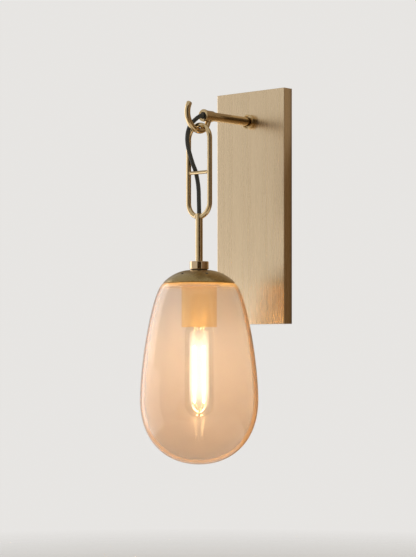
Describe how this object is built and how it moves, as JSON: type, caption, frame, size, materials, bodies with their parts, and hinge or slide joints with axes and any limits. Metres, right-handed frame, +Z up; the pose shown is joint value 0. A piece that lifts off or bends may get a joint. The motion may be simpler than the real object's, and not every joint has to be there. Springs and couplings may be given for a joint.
{
  "type": "wall sconce",
  "caption": "Wall sconce: a tall backplate with a short hooked arm carries a long metal link, a corded stem, a domed cap and an egg-shaped frosted glass shade around a filament bulb.",
  "frame": {"origin": "on the wall, at the centre of the backplate and halfway between the bracket's two slots", "axes": "+Y into the wall, +Z up, +X to the right of someone who faces the wall"},
  "size_m": [0.13, 0.165, 0.419],
  "materials": {
    "plate_brass": "brushed upright, light aged brass",
    "satin_brass": "satin brass",
    "antique_brass": "darkened olive brass",
    "contact_brass": "bright brass",
    "zinc_steel": "zinc plated",
    "dark_steel": "black oxide",
    "ground_green": "green ground screw",
    "ground_sleeve": "green sleeve",
    "lead_sleeve": "dark sleeve",
    "block_plastic": "ivory nylon",
    "black_rubber": "black",
    "white_rubber": "white silicone",
    "cord_braid": "black braid over a round cord",
    "porcelain": "glazed porcelain",
    "frosted_glass": "softly frosted, pale peach",
    "clear_glass": "clear",
    "black_glass": "black glass insulator",
    "bulb_metal": "plain",
    "lit_filament": "lit, warm white"
  },
  "bodies": {
    "fixture": {"wall_bracket": "zinc_steel", "backplate": "plate_brass", "backplate_screws": "dark_steel", "ground_screw": "ground_green", "ground_lead": "ground_sleeve", "terminal_block": "block_plastic", "block_screw": "zinc_steel", "terminal_screws": "contact_brass", "arm_tube": "satin_brass", "arm_rose": "satin_brass", "arm_lock_washer": "zinc_steel", "arm_locknut": "zinc_steel", "arm_ferrule": "satin_brass", "hook": "satin_brass", "mouth_bushing": "black_rubber", "arm_cord": "cord_braid", "supply_leads": "lead_sleeve", "pendant_cord": "cord_braid"},
    "pendant": {"link": "satin_brass", "link_crossbar": "satin_brass", "stem": "satin_brass", "stem_collar": "satin_brass", "collar_washer": "black_rubber", "cap": "antique_brass", "nipple": "zinc_steel", "cap_spacer": "zinc_steel", "gallery": "antique_brass", "neck_gasket": "white_rubber", "socket_cup": "satin_brass", "cup_lock_washer": "zinc_steel", "cup_locknut": "zinc_steel", "lampholder_body": "porcelain", "lampholder_shell": "contact_brass", "lampholder_contact": "contact_brass", "lampholder_terminals": "contact_brass", "stem_cord": "cord_braid", "socket_leads": "lead_sleeve"},
    "shade": {"glass_shade": "frosted_glass"},
    "bulb": {"bulb_envelope": "clear_glass", "bulb_cap": "bulb_metal", "bulb_insulator": "black_glass", "bulb_tip": "bulb_metal", "filament_stem": "clear_glass", "filaments": "lit_filament", "filament_wires": "bulb_metal"}
  },
  "joints": [
    {"name": "pendant_swing", "type": "hinge", "parent": "fixture", "child": "pendant", "pos_m": [0, -0.1, 0.0798], "axis": [0, 1, 0], "range_deg": [-15, 15], "deforming": ["pendant_cord"]},
    {"name": "shade_release", "type": "slide", "parent": "pendant", "child": "shade", "axis": [0, 0, -1], "range_m": [0, 0.16]},
    {"name": "bulb_release", "type": "slide", "parent": "pendant", "child": "bulb", "axis": [0, 0, -1], "range_m": [0, 0.028]}
  ]
}
